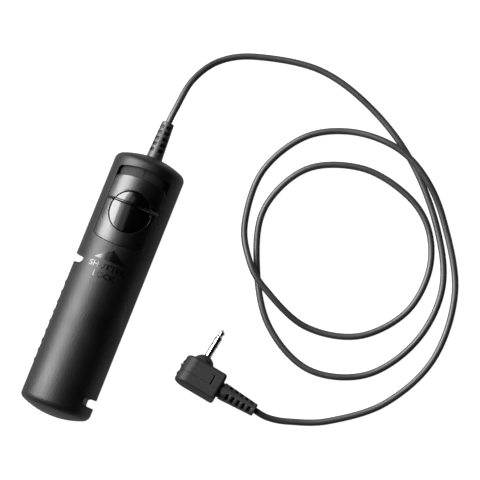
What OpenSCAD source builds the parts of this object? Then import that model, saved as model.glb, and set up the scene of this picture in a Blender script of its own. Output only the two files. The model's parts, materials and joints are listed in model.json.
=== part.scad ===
// Wired remote shutter release: a round handle with a sliding lock and a push button,
// a thin cord laid in two loops, and a right-angle plug with a three-contact pin.
// The handle lies on its back along Y with its cord end at +Y; Z is up, sizes are in mm.
// The origin is on the table, under the middle of the handle.

/* [Handle] */
// Outer diameter of the handle
handle_d = 25.4; // [22:0.1:31]
// Overall length of the two shells
handle_l = 95.6; // [93:0.1:120]
// Wall thickness of the shells
shell_wall = 2; // [1.6:0.1:2.2]
// Height of the domed ends
dome_h = 3.05; // [1.5:0.05:3.05]
// Radius of the corner between barrel and dome
corner_r = 2.8; // [1.5:0.1:4]
// Width of the flat that the handle rests on
rest_flat_w = 8; // [6:0.1:10]
// Depth of the end walls, measured on the axis
end_wall = 3.3; // [2.8:0.1:4.5]

/* [Cord slots and finger ribs] */
// Width of the two slots that hold the wound cord
slot_w = 3; // [2.5:0.1:3.6]
// Depth of the slots from the flank
slot_depth = 3.6; // [2.5:0.1:4]
// Wall around a slot, inside the shells
slot_wall = 1.2; // [0.8:0.1:1.4]
// Position of the left slot along the handle
left_slot_y = 5.8; // [4:0.1:7]
// Position of the right slot along the handle
right_slot_y = -39; // [-40:0.1:-37]
// Depth of the flat on the left flank
flank_depth = 0.5; // [0.3:0.05:0.8]
// Number of finger ribs on the left flank
rib_count = 9; // [5:1:10]
// Distance between finger ribs
rib_pitch = 3.55; // [3:0.05:3.8]
// Position of the first finger rib
rib_first_y = -3.4; // [-5:0.1:-2]
// Height of a finger rib above the flank flat
rib_h = 0.4; // [0.2:0.05:0.45]

/* [Window and slide] */
// Position of the button's centre along the handle, with the slide at rest
button_y = 26.2; // [26:0.1:28.5]
// Width of the window
window_w = 18.84; // [18.4:0.02:20]
// Distance from the button's centre to the window's lower edge
window_below = 12.2; // [12:0.1:13]
// Distance from the button's centre to the window's upper edge
window_above = 15.6; // [15.4:0.1:16]
// Radius of the bowed window ends
window_bow_r = 34; // [25:1:80]
// Radius of the window's corners
window_corner_r = 1.5; // [1:0.1:2.5]
// Depth of the recess in which the slide plate runs
recess_depth = 1.3; // [1.1:0.05:1.4]
// Travel of the slide from free to locked
slide_travel = 3.2; // [2.4:0.1:3.2]
// Clearance between the slide plate and the recess
slide_gap = 0.12; // [0.08:0.01:0.2]
// Half width of the opening under the slide plate
opening_half_w = 7.7; // [7.6:0.05:7.8]
// Thickness of the retainer that holds the slide in
retainer_t = 1.2; // [0.9:0.1:1.3]
// Diameter of the posts that join slide plate and retainer
post_d = 2; // [1.6:0.1:2.1]

/* [Button] */
// Diameter of the release button
button_d = 14.3; // [13:0.1:14.5]
// Clearance around the button
button_gap = 0.15; // [0.08:0.01:0.2]
// Full travel of the button
button_travel = 1.4; // [1:0.1:1.4]
// Height of the thumb ridge on the slide and the button
ridge_h = 0.3; // [0.15:0.05:0.5]
// Width of the thumb ridge
ridge_w = 0.7; // [0.5:0.05:1]
// Distance of the thumb ridge from the button's centre
ridge_above = 2.7; // [1:0.1:4]
// Diameter of the button's stem
stem_d = 2.8; // [2.2:0.1:3.2]
// Outer diameter of the return spring
spring_d = 5.6; // [5:0.1:8]
// Wire diameter of the return spring
spring_wire = 0.4; // [0.3:0.05:0.5]
// Turns of the return spring
spring_turns = 4.5; // [3:0.5:5]

/* [Switch] */
// Width of the contact board
board_w = 12.4; // [12:0.1:14]
// Thickness of the contact board
board_t = 1; // [0.8:0.1:1.6]
// Height of the board's top below the handle's axis
board_drop = 1; // [0.5:0.1:1.5]
// Thickness of the leaf contacts
leaf_t = 0.2; // [0.15:0.05:0.3]
// Width of the longest leaf contact
leaf_w = 3; // [2.4:0.1:3.4]
// Vertical distance between leaf contacts
leaf_step = 0.9; // [0.8:0.05:1]
// Diameter of the contact rivets
rivet_d = 1.2; // [0.8:0.1:1.4]
// Diameter of the insulated wires
wire_d = 0.7; // [0.5:0.05:0.72]

/* [Screws] */
// Thread diameter of the shell screws
shell_screw_d = 2.2; // [2:0.1:2.6]
// Head diameter of the shell screws
shell_screw_head = 4; // [3.6:0.1:4.4]
// Thread diameter of the small screws
small_screw_d = 2; // [1.6:0.1:2.2]
// Clearance around screws, rivets and posts
pin_gap = 0.05; // [0.02:0.01:0.1]

/* [Cord and boots] */
// Diameter of the cord
cord_d = 2.3; // [2:0.05:2.4]
// Clearance around the cord in its holes
cord_gap = 0.05; // [0.02:0.01:0.1]
// Length of a strain relief outside its housing
boot_l = 13.3; // [10:0.1:18]
// Diameter of the handle's strain relief at its base
boot_base_d = 5.5; // [5:0.1:7]
// Diameter of the handle's strain relief at its tip
boot_tip_d = 4.35; // [4:0.05:5]
// Diameter of the strain relief's flange inside the shells
boot_flange_d = 7.6; // [7:0.1:8]
// Diameter of the plug's strain relief at its base
plug_boot_d = 6.3; // [5.5:0.1:7]
// Diameter of the plug's strain relief at its tip
plug_boot_tip_d = 4.6; // [4:0.05:5]

/* [Plug] */
// Length of the plug body along the cord
plug_l = 15.9; // [15:0.1:19]
// Depth of the plug body along the pin
plug_depth = 10.1; // [9.6:0.1:12]
// Thickness of the plug body
plug_t = 8.5; // [8.4:0.1:10]
// Radius of the plug body's edges
plug_edge_r = 1; // [0.6:0.1:1.3]
// Height of the dome around the pin
plug_dome_h = 3; // [2:0.1:3.4]
// Distance from the plug's front to the parting line
plug_split = 6.2; // [5.8:0.1:6.8]
// Diameter of the plug's pin
pin_d = 2.5; // [2.5:0.1:3.5]
// Length of the plug's pin
pin_l = 11; // [11:0.1:14]
// Downward tilt of the pin as the plug lies on the table
plug_dip = 12; // [0:1:15]

/* [Hidden] */
$fn = 64;
EPS = 0.01;

// Handle: radii, the axis height above the table, and the cavity
shell_r = handle_d / 2;
cavity_r = shell_r - shell_wall;
axis_z = sqrt(shell_r * shell_r - rest_flat_w * rest_flat_w / 4);
end_y = handle_l / 2;
dome_r = (shell_r * shell_r + dome_h * dome_h) / (2 * dome_h);
cavity_y = end_y - end_wall;

// Shell screws
shell_screw_y = [-32, -2];
head_h = 1.6;
counterbore_depth = 2.2;
shell_screw_l = 14;
shell_boss_r = 3;

// Slide: radii measured from the handle's axis, heights from its centre line
recess_r = shell_r - recess_depth;
plate_outer_r = shell_r - 0.05;
plate_inner_r = recess_r + 0.1;
retainer_r = cavity_r - 0.2;
window_half_w = window_w / 2;
window_low_y = button_y - window_below;
window_high_y = button_y + window_above;
plate_low_y = window_low_y + slide_gap;
plate_high_y = window_high_y - slide_travel - slide_gap * 2.5;
button_r = button_d / 2;
button_hole_r = button_r + button_gap;
flange_r = button_r + 0.6;
flange_half_w = opening_half_w - 0.2;
retainer_bore_r = flange_r + 0.2;
cup_r = retainer_bore_r + 0.9;
post_r = post_d / 2;
post_x = opening_half_w - post_r - 0.5;
post_y = sqrt(pow(retainer_bore_r + post_r + 0.4, 2) - post_x * post_x);
opening_low_y = button_y - post_y - post_r - 0.2;
opening_high_y = button_y + post_y + post_r + slide_travel + 0.2;
retainer_low_y = button_y - 15;
retainer_high_y = opening_high_y + 0.8;
ridge_y = button_y + ridge_above;

// Heights above the handle's axis
flange_top = 8.3;
flange_t = 0.8;
skirt_low = flange_top - flange_t;
cap_roof = 10;
floor_top = 5.4;
floor_t = 1;
pad_low = 6;
stake_r = post_r + 0.4;
stake_h = 0.4;
stem_low = 3.4;

// Switch
board_top = -board_drop;
board_low_y = button_y - 14.9;
board_high_y = button_y + 10.6;
leaf_top = stem_low - 0.1;
leaf_foot_y = button_y - 13.9;
leaf_foot_l = 3.4;
leaf_pitch = 4.4;
leaf_tip_y = button_y + slide_travel + 2.2;
rivet_head_r = rivet_d / 2 + 0.4;
rivet_head_h = 0.3;
board_screw_at = [[-4.3, button_y - 13.2], [4.3, button_y + 0.6]];
post_board_r = 2.2;
pad_y = button_y + 8.4;
pad_x = 3.6;
solder_r = 0.8;
solder_h = 0.7;
small_head_r = small_screw_d / 2 + 0.75;
small_head_h = 1.1;

// Detent spring under the slide's lower end
detent_t = 0.25;
detent_top = 8.8;
detent_w = 3;
detent_screw_y = button_y - 21.9;
detent_bump_y = button_y - 10.8;
detent_bump_r = 0.6;
detent_notch_r = 0.8;
detent_tip_y = detent_bump_y + 1;

// Cord clamp and boot seat, in front of the cord end wall
boot_flange_t = 1.5;
boot_flange_y = cavity_y - boot_flange_t - 0.1;
seat_l = 4.2;
seat_high_y = boot_flange_y - 0.1;
seat_low_y = seat_high_y - seat_l;
seat_half_w = 5.5;
clamp_l = 3.6;
clamp_h = 2.2;
clamp_x = 3.4;
cord_r = cord_d / 2;
cord_bore_r = cord_r + cord_gap;
cord_start_y = seat_low_y + 0.2;
boot_neck_r = boot_base_d / 2 - 0.45;
boot_tip_y = end_y + boot_l;
handle_boot_roll = -7;
plug_boot_roll = -8;

// Plug: its own frame has X along the cord, Y along the pin and Z up, with the origin
// where the pin's axis crosses the cord's axis
plug_at = [41, -16.5];
plug_turn = -9;
plug_front_y = plug_depth / 2;
plug_left_x = -6.4;
plug_right_x = plug_left_x + plug_l;
plug_half_t = plug_t / 2;
plug_z = (plug_half_t - plug_edge_r) * cos(plug_dip)
    + (plug_front_y - plug_edge_r) * sin(plug_dip) + plug_edge_r;
plug_wall = 1.3;
plug_neck_r = 2.3;
plug_boot_x = plug_right_x + 0.8;
plug_boot_tip_x = plug_boot_x + boot_l;
plug_cord_x = plug_right_x - 3.2;
dome_base_r = plug_half_t - 0.4;
dome_ball_r = (dome_base_r * dome_base_r + plug_dome_h * plug_dome_h) / (2 * plug_dome_h);
pin_base_y = plug_front_y + plug_dome_h;
split_y = plug_front_y - plug_split;
ring_w = 0.4;
ring_1_y = pin_base_y + 4.2;
ring_2_y = pin_base_y + 6.9;
pin_end_y = pin_base_y + pin_l;
pin_r = pin_d / 2;
pin_neck_r = pin_r - 0.25;
tip_bulb_r = pin_r - 0.05;
tip_disc_r = pin_r - 0.35;
wire_end_gap = 0.15;
rod_r = 0.35;
tube_step = 0.13;
tube_gap = 0.02;
plug_tab_x = 3.4;
tab_pitch = 1.45;
tab_y = plug_front_y - 1.9;

// Route of the free cord from the handle to the plug, chosen by hand
CORD_POINTS = [
    [0.5, 67, 11.5], [2, 79, 7.5], [8, 89.5, 2.6], [20, 96, 1.2], [42, 99.5, 1.2],
    [63.5, 93.5, 1.2], [83.5, 81, 1.2], [100.5, 62, 1.2], [109.5, 43, 1.2],
    [107.5, 22.5, 1.2], [95.5, 5.5, 1.2], [76, 0, 1.2], [57.5, 9.5, 1.2], [46, 28, 1.2],
    [41.5, 47, 1.2], [50, 65, 1.2], [68, 72.5, 1.2], [86, 69.5, 1.2], [97.5, 61, 1.2],
    [103, 47, 1.2], [100.5, 30.5, 1.2], [88, 17, 1.2], [69.5, 13.5, 1.5],
    [52, 20.5, 3.8], [43.5, 27.5, 3.8], [37, 39.5, 1.6], [36, 58.5, 1.2],
    [45, 75, 1.2], [59.5, 83, 1.6], [76, 83.5, 3.7], [89.5, 77.5, 3.7],
    [101.5, 65.5, 1.7], [114, 44, 1.2], [115.5, 19.5, 1.2], [105.5, -1, 1.2],
    [89.5, -14, 1.2], [77, -19.2, 1.5], [69.5, -20.8, 3.2]
];

// ---- small helpers ----

function normalize(v) = v / norm(v);

// Point on a smooth curve through p1 and p2, with p0 and p3 beside them
function curve_point(p0, p1, p2, p3, t) =
    0.5 * (2 * p1 + (p2 - p0) * t
        + (2 * p0 - 5 * p1 + 4 * p2 - p3) * t * t
        + (3 * p1 - p0 - 3 * p2 + p3) * t * t * t);

function at_or_end(points, i) = points[max(0, min(len(points) - 1, i))];

function smooth_path(points, steps) = [
    for (i = [0 : len(points) - 2], k = [0 : steps - 1])
        curve_point(at_or_end(points, i - 1), points[i], points[i + 1],
            at_or_end(points, i + 2), k / steps),
    points[len(points) - 1]
];

function path_direction(path, i) =
    normalize(at_or_end(path, i + 1) - at_or_end(path, i - 1));

// The path, lifted where it would dip under a height
function lifted(path, lowest) = [
    for (p = path) [p[0], p[1], max(p[2], lowest)]
];

// A direction square to the path, carried along it so that the rings don't twist
function square_to(v, direction) = normalize(v - (v * direction) * direction);

function carried_sides(path, start, i = 0) =
    i == len(path) ? [] :
    let (side = square_to(start, path_direction(path, i)))
    concat([side], carried_sides(path, side, i + 1));

function ring_points(centre, direction, side, r, sides) = [
    for (k = [0 : sides - 1])
        let (a = 360 * k / sides)
        centre + r * (cos(a) * side + sin(a) * cross(direction, side))
];

// Round tube of radius r that follows a path
module tube_along(path, r, sides, start) {
    across = carried_sides(path, start);
    count = len(path);
    points = [
        for (i = [0 : count - 1])
            each ring_points(path[i], path_direction(path, i), across[i], r, sides)
    ];
    walls = [
        for (i = [0 : count - 2], k = [0 : sides - 1])
            let (n = (k + 1) % sides)
            [i * sides + k, (i + 1) * sides + k, (i + 1) * sides + n, i * sides + n]
    ];
    first = [for (k = [0 : sides - 1]) k];
    last = [for (k = [sides - 1 : -1 : 0]) (count - 1) * sides + k];
    polyhedron(points = points, faces = concat([first], walls, [last]), convexity = 10);
}

// Children whose Z runs along the handle, from position y; round shapes start off the
// plane in which the shells part
module along_handle(y) {
    translate([0, y, axis_z]) rotate([-90, 0, 0]) rotate([0, 0, 45]) children();
}

module handle_cylinder(r, low_y, high_y) {
    along_handle(low_y) cylinder(h = high_y - low_y, r = r, $fn = 128);
}

// Upright cylinder whose heights are measured from the handle's axis
module post(x, y, r, low, high) {
    translate([x, y, axis_z + low]) cylinder(h = high - low, r = r);
}

// Box with heights measured from the handle's axis
module block(half_w, low_y, high_y, low, high) {
    translate([-half_w, low_y, axis_z + low])
        cube([2 * half_w, high_y - low_y, high - low]);
}

function arc_points(centre, r, from, to, first, steps) = [
    for (k = [first : steps])
        let (a = from + (to - from) * k / steps)
        centre + r * [cos(a), sin(a)]
];

// Outline of an oblong with bowed ends, from its right side to the middle of the upper end
function bowed_quarter(half_w, half_l, bow_r, round_r) =
    let (bow_y = half_l - bow_r)
    let (x = half_w - round_r)
    let (y = bow_y + sqrt(pow(bow_r - round_r, 2) - x * x))
    let (meet = atan2(y - bow_y, x))
    concat(arc_points([x, y], round_r, 0, meet, 0, 8),
        arc_points([0, bow_y], bow_r, meet, 90, 1, 12));

function flipped(points, x, y, last) = [
    for (i = [last : -1 : 0]) [points[i][0] * x, points[i][1] * y]
];

// Round bar of the handle's outline, with domed ends
module handle_bar() {
    quarter = bowed_quarter(shell_r, end_y, dome_r, corner_r);
    along_handle(0) rotate_extrude($fn = 128)
        polygon(concat(quarter, flipped(quarter, 1, -1, len(quarter) - 1)));
}

module bowed_oblong(half_w, half_l, bow_r, round_r) {
    upper = bowed_quarter(half_w, half_l, bow_r, round_r);
    half = concat(upper, flipped(upper, -1, 1, len(upper) - 2));
    polygon(concat(half, [for (p = half) -p]));
}

// Upright prism over the window's outline, grown by a margin
module window_prism(low_y, high_y, half_w, round_r) {
    translate([0, (low_y + high_y) / 2, axis_z]) linear_extrude(height = shell_r + 2)
        bowed_oblong(half_w, (high_y - low_y) / 2, window_bow_r, round_r);
}

// Pan-head screw along +Z, with a cross recess; its head's seat is at z = 0
module screw(thread_r, length, head_r, head_height) {
    difference() {
        union() {
            translate([0, 0, -EPS]) cylinder(h = length + EPS, r = thread_r);
            translate([0, 0, -head_height]) cylinder(h = head_height, r = head_r);
        }
        for (a = [0, 90]) rotate([0, 0, a])
            translate([-head_r * 0.6, -head_r * 0.14, -head_height - EPS])
                cube([head_r * 1.2, head_r * 0.28, head_height * 0.6]);
    }
}

// ---- handle shells ----

// Slot across a flank: side is -1 for the left and 1 for the right
module slot_cut(side, y) {
    inner_x = shell_r - slot_depth + slot_w / 2;
    translate([side * inner_x, y, -1]) cylinder(h = handle_d + 2, r = slot_w / 2);
    translate([side > 0 ? inner_x : -shell_r - 1, y - slot_w / 2, -1])
        cube([shell_r + 1 - inner_x, slot_w, handle_d + 2]);
}

module slot_pocket(side, y) {
    inner_x = shell_r - slot_depth - slot_wall;
    half_l = slot_w / 2 + slot_wall;
    intersection() {
        translate([side > 0 ? inner_x : -shell_r, y - half_l, 0])
            cube([shell_r - inner_x, 2 * half_l, handle_d]);
        handle_cylinder(shell_r - EPS, y - half_l - 1, y + half_l + 1);
    }
}

// Flat on the left flank, from the left slot to the lower end, less its finger ribs
module flank_cut() {
    flat_x = shell_r - flank_depth;
    rib_r = 1;
    difference() {
        translate([-shell_r - 1, -end_y - 1, 0])
            cube([1 + flank_depth, end_y + 1 + left_slot_y, handle_d]);
        for (i = [0 : rib_count - 1])
            translate([-flat_x - rib_h + rib_r, rib_first_y - i * rib_pitch, 0])
                cylinder(h = handle_d, r = rib_r);
    }
}

// Both shells in one: barrel, end walls and slot pockets, all with their cuts
module shell_body() {
    difference() {
        union() {
            difference() {
                handle_bar();
                handle_cylinder(cavity_r, -cavity_y, cavity_y);
            }
            slot_pocket(-1, left_slot_y);
            slot_pocket(1, right_slot_y);
        }
        slot_cut(-1, left_slot_y);
        slot_cut(1, right_slot_y);
        flank_cut();
        handle_cylinder(boot_neck_r + cord_gap, cavity_y - 1, end_y + 1);
        translate([-shell_r, -end_y, -2]) cube([handle_d, handle_l, 2]);
    }
}

module front_shell() {
    color("#2b2c2e") difference() {
        union() {
            intersection() {
                shell_body();
                block(shell_r + 1, -end_y - 1, end_y + 1, 0, shell_r + 1);
            }
            intersection() {
                union() {
                    for (y = shell_screw_y) post(0, y, shell_boss_r, 0, shell_r);
                    post(0, detent_screw_y, 2.2, detent_top, shell_r);
                }
                handle_cylinder(shell_r - shell_wall / 2, -end_y, end_y);
            }
        }
        for (y = shell_screw_y)
            post(0, y, shell_screw_d / 2 + pin_gap, -1,
                counterbore_depth + shell_screw_l + 1 - axis_z);
        post(0, detent_screw_y, small_screw_d / 2 + pin_gap, detent_top - 1, detent_top + 2.3);
        difference() {
            window_prism(window_low_y, window_high_y, window_half_w, window_corner_r);
            handle_cylinder(recess_r, window_low_y - 1, window_high_y + 1);
        }
        block(opening_half_w, opening_low_y, opening_high_y, 1, shell_r + 1);
    }
}

// Half-round seat in the rear shell that carries the clamp and stops the boot's flange
module cord_seat() {
    intersection() {
        block(seat_half_w, seat_low_y, seat_high_y, -shell_r, 0);
        handle_cylinder(shell_r - shell_wall / 2, seat_low_y, seat_high_y);
    }
}

module rear_shell() {
    color("#27282a") difference() {
        union() {
            intersection() {
                shell_body();
                block(shell_r + 1, -end_y - 1, end_y + 1, -shell_r - 1, 0);
            }
            intersection() {
                union() {
                    for (y = shell_screw_y) post(0, y, shell_boss_r, -shell_r, 0);
                    for (at = board_screw_at)
                        post(at[0], at[1], post_board_r, -shell_r, board_top - board_t);
                }
                handle_cylinder(shell_r - shell_wall / 2, -end_y, end_y);
                translate([-shell_r, -end_y, 0]) cube([handle_d, handle_l, handle_d]);
            }
            cord_seat();
        }
        for (y = shell_screw_y) {
            post(0, y, shell_screw_d / 2 + pin_gap * 2, -shell_r - 1, 1);
            post(0, y, shell_screw_head / 2 + 0.2, -axis_z - 1, counterbore_depth - axis_z);
        }
        for (at = board_screw_at)
            post(at[0], at[1], small_screw_d / 2 + pin_gap, board_top - board_t - 5, 0);
        for (side = [-1, 1])
            post(side * clamp_x, seat_low_y + clamp_l / 2 + 0.2, small_screw_d / 2 + pin_gap,
                -4.5, 1);
        handle_cylinder(cord_bore_r, seat_low_y - 1, seat_high_y + 1);
    }
}

module shell_screws() {
    color("#8d9095") for (y = shell_screw_y)
        translate([0, y, counterbore_depth])
            screw(shell_screw_d / 2, shell_screw_l, shell_screw_head / 2, head_h);
}

// ---- slide and button ----

// Posts of the slide plate, with the flattened heads that hold the retainer
module slide_posts(r, low, high) {
    for (sx = [-1, 1], sy = [-1, 1])
        post(sx * post_x, button_y + sy * post_y, r, low, high);
}

module thumb_ridge(half_w, outer_r) {
    intersection() {
        handle_cylinder(outer_r + ridge_h, ridge_y - ridge_w / 2, ridge_y + ridge_w / 2);
        block(half_w, ridge_y - ridge_w, ridge_y + ridge_w, 1, shell_r + 1);
    }
}

// Curved plate in the window, with the thumb ridge across it
module plate_skin() {
    half_w = window_half_w - slide_gap;
    intersection() {
        difference() {
            union() {
                handle_cylinder(plate_outer_r, plate_low_y, plate_high_y);
                thumb_ridge(half_w, plate_outer_r);
            }
            handle_cylinder(plate_inner_r, plate_low_y - 1, plate_high_y + 1);
        }
        window_prism(plate_low_y, plate_high_y, half_w, window_corner_r);
    }
}

module slide_plate() {
    color("#1d1e20") difference() {
        union() {
            plate_skin();
            intersection() {
                union() {
                    intersection() {
                        post(0, button_y, flange_r, flange_top + 0.1, shell_r);
                        block(flange_half_w, plate_low_y, plate_high_y, 1, shell_r);
                    }
                    slide_posts(post_r, pad_low - stake_h - tube_gap, shell_r);
                }
                handle_cylinder(plate_outer_r - 0.5, plate_low_y, plate_high_y);
            }
            slide_posts(stake_r, pad_low - stake_h - tube_gap, pad_low - tube_gap);
        }
        post(0, button_y, button_hole_r, flange_top - 1, shell_r + 2);
    }
}

module slide_retainer() {
    color("#3a3b3e") difference() {
        union() {
            intersection() {
                difference() {
                    handle_cylinder(retainer_r, retainer_low_y, retainer_high_y);
                    handle_cylinder(retainer_r - retainer_t, retainer_low_y - 1,
                        retainer_high_y + 1);
                }
                block(opening_half_w + 1.2, retainer_low_y, retainer_high_y, 2, shell_r);
            }
            intersection() {
                union() {
                    post(0, button_y, cup_r, floor_top - floor_t, retainer_r);
                    slide_posts(post_r + 0.7, pad_low, retainer_r);
                }
                handle_cylinder(retainer_r, retainer_low_y, retainer_high_y);
            }
        }
        post(0, button_y, retainer_bore_r, floor_top, shell_r);
        post(0, button_y, stem_d / 2 + 0.2, 0, shell_r);
        slide_posts(post_r + pin_gap, 0, shell_r);
        slide_posts(stake_r + pin_gap, 0, pad_low);
        for (shift = [0, slide_travel])
            translate([-detent_w, detent_bump_y - shift, axis_z + detent_top + 0.2])
                rotate([0, 90, 0]) cylinder(h = 2 * detent_w, r = detent_notch_r);
    }
}

module slide_detent_spring() {
    low = detent_top - detent_t;
    color("#b9bcc0") difference() {
        union() {
            block(detent_w / 2, detent_screw_y - 2.2, detent_tip_y, low, detent_top);
            translate([-detent_w / 2, detent_bump_y, axis_z + detent_top + 0.1])
                rotate([0, 90, 0]) cylinder(h = detent_w, r = detent_bump_r);
        }
        post(0, detent_screw_y, small_screw_d / 2 + pin_gap, 0, shell_r);
        block(detent_w, detent_bump_y - 1, detent_bump_y + 1, low - 1, low);
    }
}

module detent_screw() {
    color("#8d9095") translate([0, detent_screw_y, axis_z + detent_top - detent_t])
        screw(small_screw_d / 2, 2.2, small_head_r, small_head_h);
}

module release_button() {
    color("#0d0d0e") {
        difference() {
            union() {
                intersection() {
                    union() {
                        handle_cylinder(plate_outer_r, plate_low_y, plate_high_y);
                        thumb_ridge(button_r, plate_outer_r);
                    }
                    post(0, button_y, button_r, skirt_low, shell_r + 1);
                }
                intersection() {
                    post(0, button_y, flange_r, skirt_low, flange_top);
                    block(flange_half_w, plate_low_y, plate_high_y, 1, shell_r);
                }
            }
            post(0, button_y, button_r - 1.5, skirt_low - 1, cap_roof);
        }
        post(0, button_y, stem_d / 2, stem_low, cap_roof + EPS);
    }
}

module return_spring() {
    wire_r = spring_wire / 2;
    coil_r = spring_d / 2 - wire_r;
    low = floor_top + wire_r + tube_gap;
    high = cap_roof - wire_r - tube_gap;
    steps = round(spring_turns * 14);
    path = [
        for (i = [0 : steps])
            let (a = 360 * spring_turns * i / steps)
            [coil_r * cos(a), button_y + coil_r * sin(a),
                axis_z + low + (high - low) * i / steps]
    ];
    color("#c9ccd1") tube_along(path, wire_r, 6, [1, 0, 0]);
}

// ---- switch inside the handle ----

module contact_board() {
    color("#2f6b45") difference() {
        block(board_w / 2, board_low_y, board_high_y, board_top - board_t, board_top);
        for (i = [0 : 2])
            post(0, leaf_foot_y + leaf_foot_l / 2 + i * leaf_pitch, rivet_d / 2 + pin_gap,
                board_top - board_t - 1, board_top + 1);
        for (at = board_screw_at)
            post(at[0], at[1], small_screw_d / 2 + pin_gap, board_top - board_t - 1,
                board_top + 1);
    }
}

module board_screws() {
    color("#8d9095") for (at = board_screw_at)
        translate([at[0], at[1], axis_z + board_top]) mirror([0, 0, 1])
            screw(small_screw_d / 2, 5, small_head_r, small_head_h);
}

// Bent contact strip: i counts from the longest, which the button's stem presses first
module leaf(i) {
    foot_low = leaf_foot_y + i * leaf_pitch;
    foot_high = foot_low + leaf_foot_l;
    half_w = leaf_w / 2 - i * 0.2;
    top = leaf_top - i * leaf_step;
    tip_y = leaf_tip_y - i * 0.5;
    difference() {
        union() {
            block(half_w, foot_low, foot_high, board_top, board_top + leaf_t);
            block(half_w, foot_high - leaf_t, foot_high, board_top, top);
            block(half_w, foot_high - leaf_t, tip_y, top - leaf_t, top);
            if (i > 0) post(0, tip_y - 1, 0.5, top - EPS, top + 0.25);
        }
        post(0, foot_low + leaf_foot_l / 2, rivet_d / 2 + pin_gap, board_top - 1,
            board_top + leaf_t + EPS);
    }
}

module common_leaf() {
    color("#c8a064") leaf(0);
}

module focus_leaf() {
    color("#c8a064") leaf(1);
}

module shutter_leaf() {
    color("#c8a064") leaf(2);
}

module contact_rivets() {
    low = board_top - board_t;
    high = board_top + leaf_t;
    color("#c7a24a") for (i = [0 : 2]) {
        y = leaf_foot_y + leaf_foot_l / 2 + i * leaf_pitch;
        post(0, y, rivet_d / 2, low - rivet_head_h, high + rivet_head_h);
        post(0, y, rivet_head_r, low - rivet_head_h, low);
        post(0, y, rivet_head_r, high, high + rivet_head_h);
    }
}

module solder_joints() {
    color("#b4b7ba") for (i = [-1 : 1])
        translate([i * pad_x, pad_y, axis_z + board_top])
            cylinder(h = solder_h, r1 = solder_r, r2 = solder_r * 0.6);
}

// Wire from the cord's end to pad i, where i is -1, 0 or 1
module handle_wire(i) {
    rise = board_top + solder_h;
    path = smooth_path([
        [i * (wire_d + 0.05), cord_start_y, axis_z],
        [i * (wire_d + 0.15), cord_start_y - 0.7, axis_z],
        [i * (pad_x - 0.6), pad_y + 1.5, axis_z + rise + 0.9],
        [i * pad_x, pad_y + 0.3, axis_z + rise + 0.8],
        [i * pad_x, pad_y, axis_z + rise + 0.05]
    ], 4);
    tube_along(path, wire_d / 2, 8, [0, 0, 1]);
}

module wire_common() {
    color("#d9d4c8") handle_wire(-1);
}

module wire_focus() {
    color("#b0342c") handle_wire(0);
}

module wire_shutter() {
    color("#c9a530") handle_wire(1);
}

module cord_clamp() {
    clamp_low_y = seat_low_y + 0.2;
    color("#3a3b3e") difference() {
        block(seat_half_w - 0.3, clamp_low_y, clamp_low_y + clamp_l, 0, clamp_h);
        handle_cylinder(cord_bore_r, clamp_low_y - 1, clamp_low_y + clamp_l + 1);
        for (side = [-1, 1])
            post(side * clamp_x, clamp_low_y + clamp_l / 2, small_screw_d / 2 + pin_gap, -1,
                clamp_h + 1);
    }
}

module clamp_screws() {
    color("#8d9095") for (side = [-1, 1])
        translate([side * clamp_x, seat_low_y + 0.2 + clamp_l / 2, axis_z + clamp_h])
            mirror([0, 0, 1]) screw(small_screw_d / 2, 6, small_head_r - 0.1, small_head_h);
}

// ---- strain reliefs and cord ----

// Tapered sleeve along +Z with rows of open slots; the bore takes the cord
module ribbed_boot(base_r, tip_r) {
    rows = 5;
    row_pitch = 2.15;
    slot_half = 1.2;
    difference() {
        cylinder(h = boot_l, r1 = base_r, r2 = tip_r);
        for (row = [0 : rows - 1], a = [45 : 90 : 315]) rotate([0, 0, a])
            translate([cord_bore_r + 0.35, -slot_half, boot_l - 2.6 - row * row_pitch])
                cube([base_r, 2 * slot_half, 1.15]);
    }
}

module handle_boot() {
    color("#222325") difference() {
        union() {
            along_handle(end_y) rotate([0, 0, 45 + handle_boot_roll])
                ribbed_boot(boot_base_d / 2, boot_tip_d / 2);
            handle_cylinder(boot_neck_r, boot_flange_y + EPS, end_y);
            handle_cylinder(boot_flange_d / 2, boot_flange_y, boot_flange_y + boot_flange_t);
        }
        handle_cylinder(cord_bore_r, boot_flange_y - 1, boot_tip_y + 1);
    }
}

// Places the plug where it lies, tilted about the cord's axis until its pin nears the table
module plug_place() {
    translate([plug_at[0], plug_at[1], plug_z]) rotate([0, 0, plug_turn])
        rotate([-plug_dip, 0, 0]) children();
}

function plug_point(x) = [
    plug_at[0] + x * cos(plug_turn), plug_at[1] + x * sin(plug_turn), plug_z
];

module cord() {
    free_path = lifted(smooth_path(concat(
        [[0, boot_tip_y, axis_z]], CORD_POINTS, [plug_point(plug_boot_tip_x)]), 2),
        cord_r + EPS);
    path = concat([[0, cord_start_y, axis_z]], free_path, [plug_point(plug_cord_x)]);
    color("#202123") tube_along(path, cord_r, 8, [0, 0, 1]);
}

module along_cord(x) {
    translate([x, 0, 0]) rotate([0, 90, 0]) children();
}

module along_pin(y) {
    translate([0, y, 0]) rotate([-90, 0, 0]) children();
}

module plug_boot() {
    color("#222325") plug_place() difference() {
        union() {
            along_cord(plug_boot_x) rotate([0, 0, plug_boot_roll])
                ribbed_boot(plug_boot_d / 2, plug_boot_tip_d / 2);
            along_cord(plug_right_x - plug_wall - 1.1)
                cylinder(h = plug_wall + 2, r = plug_neck_r);
            along_cord(plug_right_x + tube_gap) cylinder(h = 1, r = plug_boot_d / 2 - 0.35);
            along_cord(plug_right_x - plug_wall - 1.1) cylinder(h = 1, r = plug_neck_r + 0.6);
        }
        along_cord(plug_right_x - 4) cylinder(h = boot_l + 8, r = cord_bore_r);
    }
}

// ---- plug ----

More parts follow.
